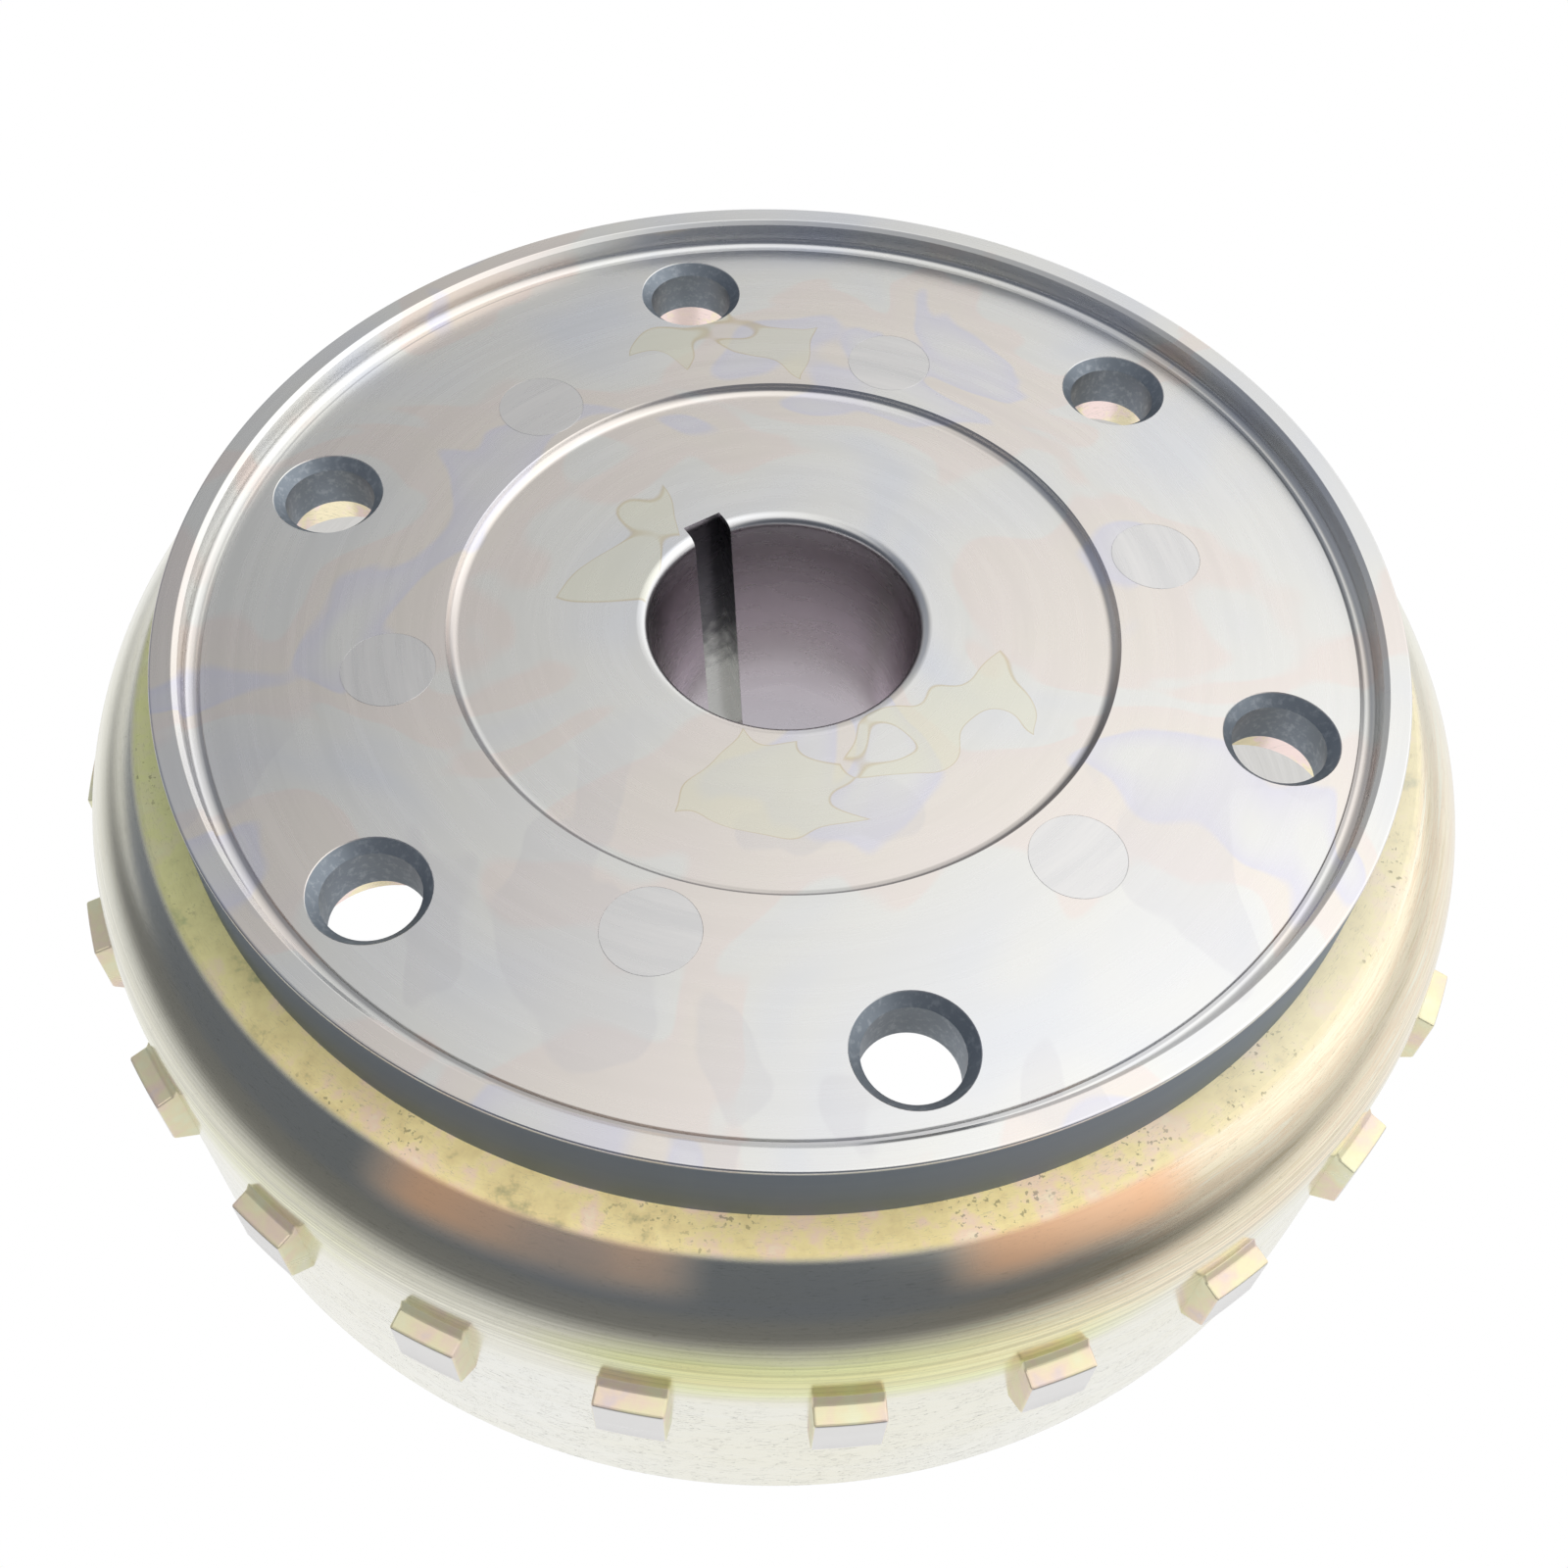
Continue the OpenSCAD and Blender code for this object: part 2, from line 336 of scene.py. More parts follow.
def lathe_marks_group():
    """Fine lines that a tool or a polishing wheel leaves round the axis, on faces and walls."""
    tree, given, made = group(
        "lathe_marks",
        {"Lines per mm": ("Float", 4.0), "Runs": ("Float", 1.5)},
        {"Height": "Float", "Streaks": "Float", "Radius": "Float", "Around": "Vector"})
    here = node(tree, "TexCoord").outputs["Object"]
    x, y, z = node(tree, "SeparateXYZ", here).outputs
    flat = node(tree, "CombineXYZ", x, y, 0.0).outputs[0]
    radius = node(tree, "VectorMath", flat, operation="LENGTH").outputs["Value"]
    across = calc(tree, "MULTIPLY", calc(tree, "SUBTRACT", radius, z), 1000.0)
    way = node(tree, "VectorMath", flat, operation="NORMALIZE").outputs[0]
    ux, uy = node(tree, "SeparateXYZ", way).outputs[:2]
    along_x = calc(tree, "MULTIPLY", ux, given["Runs"])
    along_y = calc(tree, "MULTIPLY", uy, given["Runs"])
    fine = node(tree, "CombineXYZ", calc(tree, "MULTIPLY", across, given["Lines per mm"]), along_x, along_y)
    broad = node(tree, "CombineXYZ", calc(tree, "MULTIPLY", across, 0.6), along_x, along_y)
    height = noise(tree, fine.outputs[0], 1.0, 3.0, 0.65)
    tree.links.new(height, made["Height"])
    tree.links.new(noise(tree, broad.outputs[0], 1.0, 5.0, 0.7), made["Streaks"])
    tree.links.new(calc(tree, "MULTIPLY", radius, 1000.0), made["Radius"])
    tree.links.new(node(tree, "CombineXYZ", across, along_x, along_y).outputs[0], made["Around"])
    return tree


def film_group():
    """Colours of a thin clear film on metal, from silver through straw, green, pink and violet."""
    tree, given, made = group("thin_film", {"Thickness": ("Float", 0.3)}, {"Color": "Color"})
    colour = ramp(
        tree, given["Thickness"],
        (0.0, 0.87, 0.87, 0.82), (0.24, 0.85, 0.83, 0.70), (0.42, 0.80, 0.82, 0.44),
        (0.55, 0.84, 0.74, 0.34), (0.68, 0.86, 0.60, 0.42), (0.80, 0.66, 0.48, 0.56),
        (0.90, 0.52, 0.60, 0.52), (1.0, 0.74, 0.76, 0.50))
    tree.links.new(colour, made["Color"])
    return tree


def specks_group():
    """Small ragged pits and grains of dirt."""
    tree, given, made = group(
        "specks", {"Scale": ("Float", 900.0), "Share": ("Float", 0.3)}, {"Mask": "Float"})
    here = node(tree, "TexCoord").outputs["Object"]
    grains = node(tree, "TexNoise", here)
    tree.links.new(given["Scale"], grains.inputs["Scale"])
    dots = spread(tree, grains.outputs[0], 0.62, 0.67)
    patches = noise(tree, here, 120.0, 3.0)
    limit = calc(tree, "SUBTRACT", 1.0, given["Share"])
    where = spread(tree, patches, limit, calc(tree, "ADD", limit, 0.12))
    tree.links.new(calc(tree, "MULTIPLY", dots, where), made["Mask"])
    return tree


def scratches_group():
    """Short thin scratches in the direction in which the piece was turned or slid."""
    tree, given, made = group(
        "scratches", {"Around": ("Vector", (0, 0, 0)), "Share": ("Float", 0.2)}, {"Mask": "Float"})
    bent = node(tree, "VectorMath", given["Around"], (7.0, 26.0, 26.0), operation="MULTIPLY").outputs[0]
    lines = noise(tree, bent, 0.45, 2.0, 0.5)
    thin = spread(tree, calc(tree, "ABSOLUTE", calc(tree, "SUBTRACT", lines, 0.5)), 0.012, 0.003)
    patches = noise(tree, node(tree, "VectorMath", given["Around"], (0.5, 9.0, 9.0),
                               operation="MULTIPLY").outputs[0], 1.0, 1.0)
    limit = calc(tree, "SUBTRACT", 1.0, given["Share"])
    where = spread(tree, patches, limit, calc(tree, "ADD", limit, 0.05))
    tree.links.new(calc(tree, "MULTIPLY", thin, where), made["Mask"])
    return tree


lathe_marks = lathe_marks_group()
thin_film = film_group()
specks = specks_group()
scratches = scratches_group()


def metal(name, metallic=1.0, **constants):
    """A material with one Principled shader; returns it, its tree and the shader's inputs."""
    finish = bpy.data.materials.new(name)
    finish.use_nodes = True
    tree = finish.node_tree
    shader = tree.nodes["Principled BSDF"]
    shader.inputs["Metallic"].default_value = metallic
    for label, value in constants.items():
        shader.inputs[label.replace("_", " ")].default_value = value
    return finish, tree, shader.inputs


def bump(tree, shader, height, strength, distance):
    """Fine relief too small for geometry; the distance is in metres."""
    made = node(tree, "Bump", strength, distance)
    tree.links.new(height, made.inputs["Height"])
    tree.links.new(made.outputs[0], shader["Normal"])


def facing(tree, way, degrees, low, high):
    """How far a direction round the axis lies toward an angle; the limits are cosines."""
    turn = math.radians(degrees)
    toward = (math.cos(turn), math.sin(turn), 0.0)
    along = node(tree, "VectorMath", way, toward, operation="DOT_PRODUCT").outputs["Value"]
    return spread(tree, along, low, high)


def zinc_finish():
    """Yellow passivated zinc: ivory wall, lime band at the shoulder's foot, golden mottled land with
    painted shade on its side away from the wide light and painted light on its side toward it, and painted
    light on the pink and gold punched walls.
    """
    finish, tree, shader = metal("yellow_zinc")
    link = tree.links.new
    here = node(tree, "TexCoord").outputs["Object"]
    x, y, z = node(tree, "SeparateXYZ", here).outputs
    height = calc(tree, "MULTIPLY", z, 1000.0)
    marks = use(tree, lathe_marks, Lines_per_mm=3.0, Runs=2.5)
    rings = use(tree, lathe_marks, Lines_per_mm=4.0, Runs=0.5)
    clouds = noise(tree, here, 28.0, 3.0)
    mottle = noise(tree, here, 260.0, 4.0, 0.65)
    flat = node(tree, "CombineXYZ", x, y, 0.0).outputs[0]
    way = node(tree, "VectorMath", flat, operation="NORMALIZE").outputs[0]
    band = calc(tree, "MULTIPLY", spread(tree, height, 23.0, 28.5), spread(tree, height, 37.0, 31.0))
    film = calc(tree, "MULTIPLY_ADD", clouds, 0.55, -0.23)
    film = calc(tree, "MULTIPLY_ADD", marks["Streaks"], 0.20, film)
    lime = calc(tree, "MULTIPLY_ADD", facing(tree, way, 276, 0.90, 0.99), 0.26, 0.07)
    film = calc(tree, "MULTIPLY_ADD", band, lime, film)
    colour = use(tree, thin_film, Thickness=film)["Color"]
    straw = ramp(
        tree, marks["Streaks"],
        (0.36, 0.84, 0.72, 0.50), (0.46, 0.95, 0.86, 0.66),
        (0.54, 0.90, 0.74, 0.54), (0.64, 0.93, 0.90, 0.74))
    golden_side = calc(tree, "MULTIPLY", facing(tree, way, 322, 0.70, 0.95),
                       spread(tree, height, 27.0, 33.0, 0.0, 0.9))
    colour = tint(tree, golden_side, colour, straw)
    # Painted light: the pink and gold plating on the punched walls of the head holes is painted pale, as if
    # lit through the holes.
    punched = calc(tree, "MULTIPLY", spread(tree, marks["Radius"], 53.5, 53.0),
                   spread(tree, height, land_z, land_z - 0.2))
    colour = tint(tree, punched, colour, tint(tree, spread(tree, mottle, 0.44, 0.56),
                                              (0.98, 0.80, 0.76), (0.98, 0.88, 0.62)))
    scored = spread(tree, rings["Height"], 0.36, 0.62, 0.80, 1.06)
    scored = calc(tree, "MULTIPLY_ADD", band, calc(tree, "SUBTRACT", scored, 1.0), 1.0)
    scored = node(tree, "CombineColor", scored, scored, scored).outputs[0]
    colour = tint(tree, 1.0, colour, scored, "MULTIPLY")
    patches = calc(tree, "ADD", facing(tree, way, 253, 0.968, 0.992), facing(tree, way, 294, 0.980, 0.996))
    patches = calc(tree, "MULTIPLY", patches, spread(tree, height, 36.6, 38.6))
    patches = calc(tree, "MULTIPLY", patches, spread(tree, clouds, 0.36, 0.56, 0.45, 1.0))
    colour = tint(tree, patches, colour, (1.0, 0.62, 0.38))
    on_land = spread(tree, height, land_z - 0.6, land_z - 0.1)
    golden = ramp(
        tree, calc(tree, "MULTIPLY_ADD", mottle, 0.6, calc(tree, "MULTIPLY", clouds, 0.4)),
        (0.36, 0.46, 0.42, 0.22), (0.43, 0.90, 0.73, 0.36), (0.50, 1.0, 0.84, 0.42),
        (0.57, 1.0, 0.76, 0.56), (0.66, 1.0, 0.89, 0.64))
    # The land greener and darker on the side away from the wide light: the plating's olive tint with
    # painted shade.
    olive_tint_and_shade = calc(tree, "MULTIPLY", facing(tree, way, 175, 0.45, 0.95), 0.7)
    golden = tint(tree, olive_tint_and_shade, golden, (0.44, 0.54, 0.26))
    # The land paler on the side toward the wide light: painted light.
    pale = calc(tree, "MULTIPLY", facing(tree, way, 345, 0.6, 0.95), 0.6)
    golden = tint(tree, pale, golden, (0.96, 0.92, 0.74))
    colour = tint(tree, on_land, colour, golden)
    dirt = calc(tree, "MULTIPLY", use(tree, specks, Scale=2300.0, Share=0.50)["Mask"], on_land)
    colour = tint(tree, calc(tree, "MULTIPLY", dirt, 0.55), colour, (0.14, 0.13, 0.08))
    lines = use(tree, scratches, Around=marks["Around"], Share=0.60)["Mask"]
    lines = calc(tree, "MULTIPLY", lines, spread(tree, height, 26.0, 20.0, 0.25, 0.9))
    colour = tint(tree, lines, colour, (0.20, 0.20, 0.16))
    link(colour, shader["Base Color"])
    bare_metal = calc(tree, "MULTIPLY_ADD", patches, -0.40, 1.0)
    link(calc(tree, "MULTIPLY_ADD", on_land, -0.75, bare_metal), shader["Metallic"])
    rough = calc(tree, "MULTIPLY_ADD", marks["Streaks"], 0.14, 0.13)
    rough = calc(tree, "MULTIPLY_ADD", on_land, 0.25, rough)
    link(rough, shader["Roughness"])
    bump(tree, shader, calc(tree, "MULTIPLY_ADD", mottle, 0.5, rings["Height"]), 0.11, 0.00005)
    return finish


zinc = zinc_finish()
cup.data.materials.append(zinc)

# Timing lugs. Pressed out of the cup's wall, plated with it, and their tops turned bare to size.
# One of the twenty-four is left out, so that the pickup can find the start of a turn.

lug_r = 67.5
lug_w = 5.93
lug_top_z = total_h - 22.4
lug_low_z = total_h - 28.6
lug_count = 23
lug_pitch = math.tau / 24
lug_phase = math.radians(7.06)


def lug_piece():
    """One lug on the +X side, its outer face on the lug circle, its edges a little rounded."""
    section = [
        (cup_r - 1.5, lug_low_z - 1.7), (cup_r, lug_low_z - 1.7), (lug_r, lug_low_z),
        (lug_r, lug_top_z), (cup_r + 0.45, lug_top_z + 0.35), (cup_r, lug_top_z + 1.1),
        (cup_r - 1.5, lug_top_z + 1.1)]
    shell = bmesh.new()
    columns = 8
    slices = []
    for column in range(columns + 1):
        side = lug_w * (column / columns - 0.5)
        slices.append([
            shell.verts.new((math.sqrt(r * r - side * side) * mm, side * mm, z * mm))
            for r, z in section])
    for here, there in zip(slices, slices[1:]):
        for k in range(len(section)):
            n = (k + 1) % len(section)
            shell.faces.new((here[k], there[k], there[n], here[n]))
    shell.faces.new(slices[0])
    shell.faces.new(slices[-1])
    piece = make_object("timing_lugs", shell)
    edge = piece.modifiers.new("edges", "BEVEL")
    edge.width = 0.22 * mm
    edge.segments = 3
    edge.limit_method = "ANGLE"
    edge.angle_limit = math.radians(25)
    set_plain(piece)
    return piece


def lug_finish():
    """Lug plating shows pink and gold; the turned face is bare steel with lines round the axis."""
    finish, tree, shader = metal("lug_plating")
    link = tree.links.new
    here = node(tree, "TexCoord").outputs["Object"]
    marks = use(tree, lathe_marks, Lines_per_mm=7.0, Runs=1.0)
    clouds = noise(tree, here, 330.0, 3.0)
    thickness = calc(tree, "MULTIPLY_ADD", clouds, 1.0, 0.06)
    colour = use(tree, thin_film, Thickness=thickness)["Color"]
    bare = spread(tree, marks["Radius"], lug_r - 0.09, lug_r - 0.02)
    colour = tint(tree, 0.45, colour, (1.0, 0.95, 0.84))
    colour = tint(tree, bare, colour, (0.76, 0.75, 0.74))
    link(colour, shader["Base Color"])
    link(calc(tree, "MULTIPLY_ADD", bare, 0.45, 0.55), shader["Metallic"])
    link(calc(tree, "MULTIPLY_ADD", marks["Streaks"], 0.15, 0.22), shader["Roughness"])
    bump(tree, shader, marks["Height"], 0.15, 0.00004)
    return finish


lugs = repeat(lug_piece(), lug_count, lug_pitch, lug_phase, lug_finish())
smooth(lugs, 12)
for piece in (cup, lugs):
    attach(piece, "root")
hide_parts("cup")

# ---------------------------------------------------------------------------------------------
# Hub. Turned from a forging: flange, raised register rim, recessed disc, boss with a tapered
# bore and a keyway, and a puller thread at its end. Left bare, with a film of oil.

rim_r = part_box("hub")[1].x / mm
register_r = mounts["clutch_register"]["dims"]["r_mm"]
face_z = mounts["clutch_face"]["pos_m"][2] / mm
disc_z = face_z - 0.9
disc_r = 30.8
relief_r = register_r - 1.45
boss_end_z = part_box("hub")[0].z / mm
puller_r = mounts["puller_thread"]["dims"]["r_mm"]
puller_top_z = boss_end_z + 9
taper_r, taper_slope = 12.5, 0.1
taper_top_z = disc_z - 1.1
thread_pitch, thread_depth = 1.5, 0.8
key_w, key_depth, key_angle = 4.0, 2.0, math.radians(125.5)
rivet_circle_r = 36.0
rivet_r, rivet_flush_r = 3.5, 4.2
thread_rows = 96


def thread_shape(r, z, angle):
    """Cuts the puller thread's groove into the wall of the boss end."""
    if abs(r - puller_r) > 0.01 or not boss_end_z + 0.6 < z < puller_top_z - 0.3:
        return r
    turn = ((z - boss_end_z) / thread_pitch - angle / math.tau) % 1.0
    return r + thread_depth * min(1.0, 1.15 * (1 - abs(2 * turn - 1)))


taper_end_r = taper_r - taper_slope * (taper_top_z - puller_top_z)
thread_wall = [
    (puller_r, boss_end_z + 0.5 + (puller_top_z - boss_end_z - 0.5) * row / thread_rows)
    for row in range(thread_rows + 1)]
hub_outline = (
    arc(taper_r + 1.1, taper_top_z, 1.1, 180, 90, 8)
    + [(taper_r + 1.15, disc_z), (disc_r - 1.1, disc_z)]
    + arc(disc_r - 1.05, disc_z + 0.95, 0.95, -90, -12, 8)
    + [(disc_r, face_z), (relief_r, face_z), (relief_r + 0.12, face_z - 0.26)]
    + arc(register_r - 0.9, face_z + 0.6, 0.9, -100, 0, 9)
    + [(register_r, total_h - 0.4)]
    + rounded((register_r, total_h - 0.4), (register_r + 0.4, total_h, 0.12), (rim_r, total_h, 0.2),
              (rim_r, land_z), steps=5)[1:]
    + [(boss_r, land_z), (boss_r, boss_end_z + 0.5), (boss_r - 0.5, boss_end_z)]
    + [(puller_r + 0.5, boss_end_z)]
    + thread_wall
    + [(taper_end_r, puller_top_z)]
)
hub = lathe("hub_body", hub_outline, steps=360, shape=thread_shape)


def key_cutter():
    """Block that cuts the keyway; its floor runs parallel to the taper."""
    low, high = puller_top_z - 1, disc_z + 1
    floor = taper_r + key_depth
    side_view = [
        (taper_end_r / 2, low), (floor - taper_slope * (taper_top_z - low), low),
        (floor, taper_top_z), (floor, high), (taper_end_r / 2, high)]
    shell = bmesh.new()
    left, right = (
        [shell.verts.new((r * mm, side * key_w / 2 * mm, z * mm)) for r, z in side_view]
        for side in (-1, 1))
    shell.faces.new(left)
    shell.faces.new(right)
    for k in range(len(side_view)):
        n = (k + 1) % len(side_view)
        shell.faces.new((left[k], right[k], right[n], left[n]))
    block = make_object("key_cutter", shell)
    block.data.transform(Matrix.Rotation(key_angle, 4, "Z"))
    return block


hub = cut(
    hub, key_cutter(),
    punches("bolt_holes", [
        (0, land_z - 2), (bolt_hole_r, land_z - 2), (bolt_hole_r, face_z - 1), (bolt_hole_r + 1, face_z),
        (bolt_hole_r + 2, face_z + 1), (0, face_z + 1)], bolt_circle_r, bolt_phase),
    punches("rivet_holes", [
        (0, land_z - 2), (rivet_r, land_z - 2), (rivet_r, face_z - 1.2), (rivet_flush_r, face_z),
        (rivet_flush_r + 0.6, face_z + 1), (0, face_z + 1)], rivet_circle_r, bolt_phase - sixth / 2))


def blotch_group():
    """A dried patch of oil: an oval with a ragged border, darker along its rim."""
    tree, given, made = group(
        "blotch",
        {"Centre": ("Vector", (0, 0, 0)), "Half size": ("Vector", (10, 10, 10)), "Turn": ("Float", 0.0),
         "Ragged": ("Float", 0.8)},
        {"Inside": "Float", "Rim": "Float"})
    here = node(tree, "TexCoord").outputs["Object"]
    place_mm = node(tree, "VectorMath", here, (1000.0, 1000.0, 0.0), operation="MULTIPLY").outputs[0]
    from_centre = node(tree, "VectorMath", place_mm, given["Centre"], operation="SUBTRACT").outputs[0]
    spin = node(tree, "VectorRotate", from_centre, rotation_type="Z_AXIS")
    tree.links.new(given["Turn"], spin.inputs["Angle"])
    scaled = node(tree, "VectorMath", spin.outputs[0], given["Half size"], operation="DIVIDE").outputs[0]
    oval = node(tree, "VectorMath", scaled, operation="LENGTH").outputs["Value"]
    wander = calc(tree, "ABSOLUTE", calc(tree, "SUBTRACT", noise(tree, here, 90.0, 1.0), 0.5))
    reach = calc(tree, "MULTIPLY_ADD", wander, given["Ragged"], oval)
    inside = spread(tree, reach, 1.0, 0.97)
    rim = spread(tree, calc(tree, "ABSOLUTE", calc(tree, "SUBTRACT", reach, 0.985)), 0.03, 0.0)
    tree.links.new(inside, made["Inside"])
    tree.links.new(rim, made["Rim"])
    return tree


blotch = blotch_group()


def oil_stains(tree, colour):
    """Lays the dried patches of oil over a colour: centre, half size in mm, turn, raggedness."""
    for centre, half, turn, ragged in (
        ((-7.0, 36.5, 0.0), (15.0, 5.0, 1.0), 0.1, 4.5),
        ((-15.8, 6.5, 0.0), (5.0, 10.5, 1.0), 0.25, 3.0),
        ((16.0, -10.5, 0.0), (12.0, 5.5, 1.0), -0.6, 5.0),
        ((-1.5, -19.5, 0.0), (10.0, 6.0, 1.0), 0.3, 6.0),
    ):
        patch = use(tree, blotch, Centre=centre, Half_size=half, Turn=turn, Ragged=ragged)
        colour = tint(tree, calc(tree, "MULTIPLY", patch["Inside"], 0.55), colour, (0.83, 0.82, 0.66))
        colour = tint(tree, calc(tree, "MULTIPLY", patch["Rim"], 0.40), colour, (0.60, 0.46, 0.22))
    return colour


def turned_finish():
    """Bare turned steel: smears of oil on the face; a mauve bore with painted light toward its lower end
    and its mouth; painted shade at the front of the disc's corner, in the relief groove and in the keyway;
    rougher hole walls and outer wall, darkened by painted shade.
    """
    finish, tree, shader = metal("turned_steel")
    link = tree.links.new
    here = node(tree, "TexCoord").outputs["Object"]
    y, z = node(tree, "SeparateXYZ", here).outputs[1:]
    height = calc(tree, "MULTIPLY", z, 1000.0)
    marks = use(tree, lathe_marks, Lines_per_mm=5.0, Runs=1.2)
    radius = marks["Radius"]
    bend = noise(tree, here, 30.0, 1.0)
    smears = noise(tree, node(tree, "VectorMath", here, calc(tree, "MULTIPLY", bend, 0.05),
                              operation="ADD").outputs[0], 42.0, 2.0, 0.5)
    film = ramp(
        tree, smears,
        (0.30, 0.79, 0.81, 0.86), (0.42, 0.84, 0.845, 0.85), (0.50, 0.86, 0.86, 0.84),
        (0.515, 0.88, 0.82, 0.79), (0.60, 0.88, 0.83, 0.78), (0.615, 0.79, 0.78, 0.86),
        (0.70, 0.85, 0.85, 0.84))
    drawn_out = node(tree, "VectorMath", here, (1.2, 0.7, 1.0), operation="MULTIPLY").outputs[0]
    smudge = calc(tree, "MULTIPLY", spread(tree, noise(tree, drawn_out, 80.0, 1.5), 0.57, 0.59),
                  spread(tree, y, -0.010, -0.024, 0.0, 0.30))
    film = tint(tree, smudge, film, (0.70, 0.69, 0.73))
    streaked = tint(tree, 0.11, film, ramp(tree, marks["Streaks"], (0.3, 0.55), (0.7, 1.0)), "MULTIPLY")
    colour = oil_stains(tree, streaked)
    # Painted shade: a dark line along the disc's corner at the front.
    corner = calc(tree, "MULTIPLY", spread(tree, radius, disc_r - 0.80, disc_r - 0.45),
                  spread(tree, radius, disc_r + 0.05, disc_r - 0.01))
    corner = calc(tree, "MULTIPLY", corner, spread(tree, y, 0.004, -0.014, 0.0, 0.85))
    # Painted shade in the relief groove at the foot of the register wall.
    groove = calc(tree, "MULTIPLY", spread(tree, radius, relief_r - 0.10, relief_r + 0.05, 0.0, 0.45),
                  spread(tree, radius, relief_r + 0.50, relief_r + 0.30))
    colour = tint(tree, calc(tree, "MAXIMUM", corner, groove), colour, (0.16, 0.16, 0.18))
    # Bore walls: mauve grey, with painted light making them lighter toward the lower end and at the mouth.
    walls = ramp(
        tree, node(tree, "MapRange", height, puller_top_z, disc_z, 0.0, 1.0).outputs[0],
        (0.0, 0.78, 0.74, 0.80), (0.50, 0.68, 0.60, 0.65),
        (0.88, 0.54, 0.50, 0.52), (0.97, 0.78, 0.78, 0.79))
    # Painted shade in the keyway: dark at its top, lighter toward its lower end.
    taper_at = calc(tree, "MULTIPLY_ADD", height, taper_slope, taper_r - taper_slope * taper_top_z)
    keyway_shade_mask = calc(tree, "MULTIPLY", spread(tree, calc(tree, "SUBTRACT", radius, taper_at), 0.06, 0.16),
                  spread(tree, height, taper_top_z + 0.9, taper_top_z + 0.3))
    keyway_shade = ramp(
        tree, calc(tree, "MULTIPLY_ADD", noise(tree, here, 700.0, 3.0), 0.35,
                   node(tree, "MapRange", height, disc_z, puller_top_z, 0.0, 0.8).outputs[0]),
        (0.20, 0.10, 0.10, 0.11), (0.55, 0.22, 0.22, 0.23), (0.72, 0.72, 0.72, 0.70))
    walls = tint(tree, keyway_shade_mask, walls, keyway_shade)
    colour = tint(tree, spread(tree, height, disc_z - 0.3, disc_z - 0.1), walls, colour)
    # Painted shade: the rim's outer wall is painted dark slate blue; the same mask makes it rougher.
    outer = calc(tree, "MULTIPLY", spread(tree, radius, rim_r - 0.12, rim_r - 0.04),
                 spread(tree, height, total_h - 0.22, total_h - 0.5))
    colour = tint(tree, outer, colour, (0.31, 0.355, 0.42))
    # Painted shade: the walls and chamfers of the bolt holes are painted dark slate with grit; the same
    # mask makes them rougher.
    around_holes = calc(tree, "MULTIPLY", spread(tree, radius, rivet_circle_r + 2, rivet_circle_r + 3),
                        spread(tree, radius, relief_r - 0.5, relief_r - 1))
    holes = calc(tree, "MULTIPLY", around_holes, spread(tree, height, face_z - 0.03, face_z - 0.10))
    grit = spread(tree, noise(tree, here, 1500.0, 3.0, 0.7), 0.48, 0.70)
    hole_wall_shade = tint(tree, grit, (0.30, 0.34, 0.39), (0.42, 0.46, 0.51))
    colour = tint(tree, holes, colour, hole_wall_shade)
    link(colour, shader["Base Color"])
    rough = calc(tree, "MULTIPLY_ADD", marks["Streaks"], 0.14, 0.20)
    rough = calc(tree, "MULTIPLY_ADD", holes, 0.25, rough)
    link(calc(tree, "MULTIPLY_ADD", outer, 0.45, rough), shader["Roughness"])
    bump(tree, shader, marks["Height"], 0.05, 0.00004)
    return finish


hub.data.materials.append(turned_finish())
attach(hub, "root")
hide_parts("hub")

# ---------------------------------------------------------------------------------------------
# Rivets. Six steel rivets join hub and cup: round heads inside the cup, the other ends upset
# into countersinks and turned flush with the face, where each shows as a faint ring.

rivet_head_r, rivet_low_z = 6.5, floor_z - 3.2
rivet = place(plug("rivet_set", [
    (0, rivet_low_z), (rivet_head_r - 2.2, rivet_low_z), (rivet_head_r - 1.1, rivet_low_z + 0.3),
    (rivet_head_r - 0.3, rivet_low_z + 1.1), (rivet_head_r, rivet_low_z + 2.2), (rivet_head_r, floor_z),
    (rivet_r, floor_z), (rivet_r, face_z - 1.2), (rivet_flush_r - 0.02, face_z - 0.02),
    (rivet_flush_r - 0.04, face_z), (0, face_z)]), x=rivet_circle_r)


def rivet_finish():
    """Rivet steel, turned with the face but a little softer and darker."""
    finish, tree, shader = metal("rivet_steel")
    marks = use(tree, lathe_marks, Lines_per_mm=5.0, Runs=1.2)
    colour = ramp(tree, marks["Streaks"], (0.3, 0.74, 0.74, 0.75), (0.7, 0.85, 0.84, 0.84))
    tree.links.new(colour, shader["Base Color"])
    tree.links.new(calc(tree, "MULTIPLY_ADD", marks["Streaks"], 0.16, 0.20), shader["Roughness"])
    bump(tree, shader, marks["Height"], 0.05, 0.00004)
    return finish


rivet = repeat(rivet, 6, sixth, bolt_phase - sixth / 2, rivet_finish())
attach(rivet, "root")
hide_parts("rivets")

# ---------------------------------------------------------------------------------------------
# Magnets, cage, cover and resin. They keep their CAD shapes: twelve sintered magnets in a nylon
# cage, held in by a thin stainless cover, with dark resin above and below.


def magnet_finish():
    """Dark grainy ceramic."""
    finish, tree, shader = metal("sintered_magnet", metallic=0.3)
    here = node(tree, "TexCoord").outputs["Object"]
    grain = noise(tree, here, 1800.0, 4.0, 0.7)
    tree.links.new(ramp(tree, grain, (0.3, 0.030), (0.7, 0.075)), shader["Base Color"])
    tree.links.new(calc(tree, "MULTIPLY_ADD", grain, 0.3, 0.45), shader["Roughness"])
    bump(tree, shader, grain, 0.3, 0.00005)
    return finish


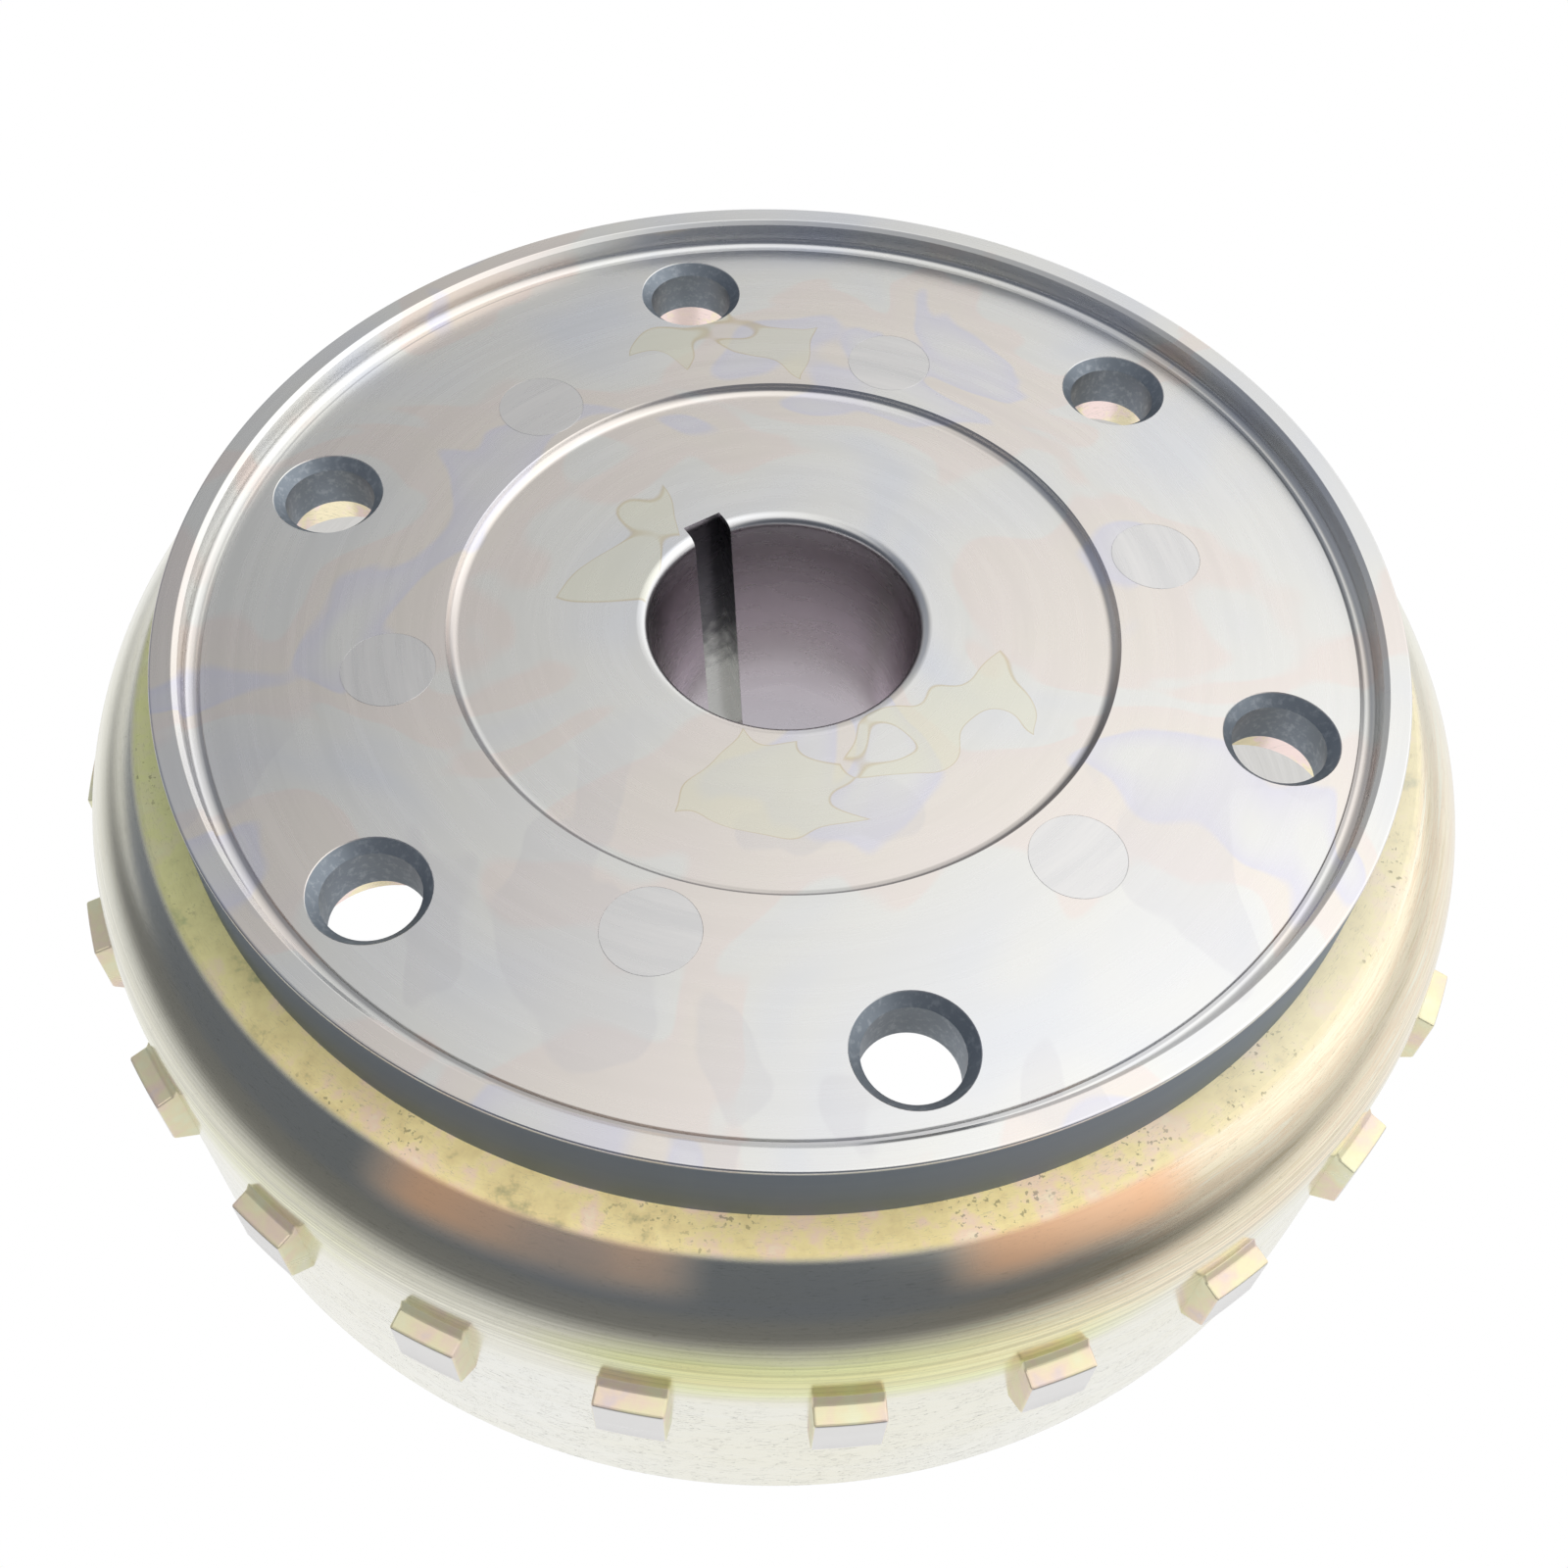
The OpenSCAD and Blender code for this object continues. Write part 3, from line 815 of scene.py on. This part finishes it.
def nylon_finish():
    """Cream nylon, a little clouded by heat."""
    finish, tree, shader = metal("cage_nylon", metallic=0.0, Roughness=0.45)
    here = node(tree, "TexCoord").outputs["Object"]
    cloud = noise(tree, here, 90.0, 3.0)
    tree.links.new(ramp(tree, cloud, (0.3, 0.62, 0.57, 0.44), (0.7, 0.74, 0.70, 0.58)),
                   shader["Base Color"])
    bump(tree, shader, noise(tree, here, 900.0, 2.0), 0.15, 0.00004)
    return finish


def stainless_finish():
    """Thin drawn sheet with faint lines round the axis."""
    finish, tree, shader = metal("thin_stainless")
    marks = use(tree, lathe_marks, Lines_per_mm=6.0, Runs=1.0)
    tree.links.new(ramp(tree, marks["Streaks"], (0.3, 0.60, 0.59, 0.57), (0.7, 0.74, 0.73, 0.71)),
                   shader["Base Color"])
    tree.links.new(calc(tree, "MULTIPLY_ADD", marks["Streaks"], 0.2, 0.15), shader["Roughness"])
    bump(tree, shader, marks["Height"], 0.12, 0.00004)
    return finish


def resin_finish():
    """Glossy dark brown resin."""
    finish, tree, shader = metal("potting_resin", metallic=0.0, Roughness=0.18)
    here = node(tree, "TexCoord").outputs["Object"]
    cloud = noise(tree, here, 200.0, 3.0)
    tree.links.new(ramp(tree, cloud, (0.3, 0.045, 0.030, 0.012), (0.7, 0.10, 0.07, 0.03)),
                   shader["Base Color"])
    bump(tree, shader, cloud, 0.4, 0.0002)
    return finish


def set_finish(node_name, finish):
    """Gives a CAD node its material; its shape stays as it is."""
    piece = frame["nodes"][node_name]
    piece.data.materials.clear()
    piece.data.materials.append(finish)


magnet = magnet_finish()
for name in frame["nodes"]:
    if name.startswith("magnet_") and name[-2:].isdigit():
        set_finish(name, magnet)
set_finish("magnet_cage", nylon_finish())
set_finish("magnet_cover", stainless_finish())
resin = resin_finish()
set_finish("resin_seal", resin)
set_finish("resin_bed", resin)

# ---------------------------------------------------------------------------------------------
# Studio. A white table that glows like a light box, a wide soft light to the right, a pale
# ceiling, a dim side behind the camera, and a lamp that does not show in polished metal.

floor_half = 3.0
floor_gap = 0.1
light_way = (0.816, 0.071, 0.574)


def table_finish():
    """White table: bright round the cup and dim far out to rays that light the piece; clear from below."""
    finish = bpy.data.materials.new("white_table")
    finish.use_nodes = True
    tree = finish.node_tree
    tree.nodes.clear()
    here = node(tree, "TexCoord").outputs["Object"]
    away = node(tree, "VectorMath", here, operation="LENGTH").outputs["Value"]
    off_pool = node(tree, "VectorMath", here, (0.03, 0.06, 0.0), operation="DISTANCE").outputs["Value"]
    x, y = node(tree, "SeparateXYZ", here).outputs[:2]
    pool = spread(tree, off_pool, 0.24, 0.13, 0.16, 0.95)
    far = calc(tree, "MAXIMUM", y, calc(tree, "MULTIPLY", calc(tree, "ADD", x, y), 0.5))
    lit = calc(tree, "MAXIMUM", pool, spread(tree, far, -0.01, 0.14, 0.16, 0.76))
    lit = calc(tree, "MULTIPLY", lit, spread(tree, away, (boss_r - 8) * mm, (boss_r - 3) * mm, 0.6, 1.0))
    seen = node(tree, "LightPath").outputs["Is Camera Ray"]
    glow = node(tree, "Emission", (1, 1, 1, 1), calc(tree, "MAXIMUM", lit, seen))
    clear = node(tree, "BsdfTransparent").outputs[0]
    from_below = node(tree, "NewGeometry").outputs["Backfacing"]
    both = node(tree, "MixShader", from_below, glow.outputs[0], clear)
    node(tree, "OutputMaterial", both.outputs[0])
    return finish


floor_shell = bmesh.new()
corners = [(-1, -1), (1, -1), (1, 1), (-1, 1)]
floor_shell.faces.new([
    floor_shell.verts.new((x * floor_half, y * floor_half, -floor_gap * mm)) for x, y in corners])
table = make_object("white_table", floor_shell)
table.data.materials.append(table_finish())


def room_light():
    """The room: a wide soft light to the right, a pale ceiling, and a dim side behind the camera."""
    world = bpy.data.worlds.new("room")
    bpy.context.scene.world = world
    world.use_nodes = True
    tree = world.node_tree
    tree.nodes.clear()
    way = node(tree, "TexCoord").outputs["Generated"]
    x, y, z = node(tree, "SeparateXYZ", way).outputs
    to_light = node(tree, "VectorMath", way, light_way, operation="DOT_PRODUCT").outputs["Value"]
    side_light = spread(tree, to_light, 0.50, 0.98, 0.0, 1.15)
    ceiling = calc(tree, "MULTIPLY", spread(tree, calc(tree, "MULTIPLY_ADD", y, 0.55, z), 0.42, 0.58),
                   spread(tree, z, 0.60, 1.0, 0.40, 0.88))
    slant = calc(tree, "MULTIPLY_ADD", x, spread(tree, y, -0.2, 0.3, 0.4, 1.95), 1.0)
    slant = calc(tree, "MAXIMUM", slant, 0.15)
    ceiling = calc(tree, "MULTIPLY", ceiling, slant)
    behind = calc(tree, "MULTIPLY", calc(tree, "MAXIMUM", y, 0.0), calc(tree, "SUBTRACT", 1.0, z))
    level = calc(tree, "MULTIPLY_ADD", behind, 0.35, 0.14)
    level = calc(tree, "ADD", level, calc(tree, "MAXIMUM", side_light, ceiling))
    level = calc(tree, "MAXIMUM", level, spread(tree, z, -0.05, -0.15, 0.0, 0.8))
    hue = tint(tree, spread(tree, level, 0.15, 0.50), (0.92, 1.0, 1.18), (1.0, 0.995, 0.98))
    seen = node(tree, "LightPath").outputs["Is Camera Ray"]
    colour = tint(tree, seen, hue, (1.0, 1.0, 1.0))
    back = node(tree, "Background", colour, calc(tree, "MAXIMUM", level, seen))
    node(tree, "OutputWorld", back.outputs[0])


room_light()
lamp_data = bpy.data.lights.new("soft_lamp", "AREA")
lamp_data.size = 0.5
lamp_data.energy = 1.8
lamp = bpy.data.objects.new("soft_lamp", lamp_data)
lamp_from = Vector((-0.15, -0.35, 0.6))
lamp.matrix_world = Matrix.Translation(lamp_from) @ lamp_from.to_track_quat("Z", "Y").to_matrix().to_4x4()
lamp.visible_glossy = False
bpy.context.scene.collection.objects.link(lamp)

camera_far = 2.862 * rim_r * mm
camera_up = math.radians(47.76)
camera_data = bpy.data.cameras.new("camera")
camera_data.sensor_width = 36.0
camera_data.lens = 40.47
camera_data.clip_start = 0.01
camera = bpy.data.objects.new("camera", camera_data)
camera_at = (0, -camera_far * math.cos(camera_up), total_h * mm + camera_far * math.sin(camera_up))
camera.matrix_world = (
    Matrix.Translation(camera_at)
    @ Matrix.Rotation(math.radians(-0.41), 4, "Z")
    @ Matrix.Rotation(math.radians(36.01), 4, "X")
    @ Matrix.Rotation(math.radians(3.09), 4, "Z"))
bpy.context.scene.collection.objects.link(camera)
bpy.context.scene.camera = camera
bpy.context.scene.view_settings.view_transform = "Standard"
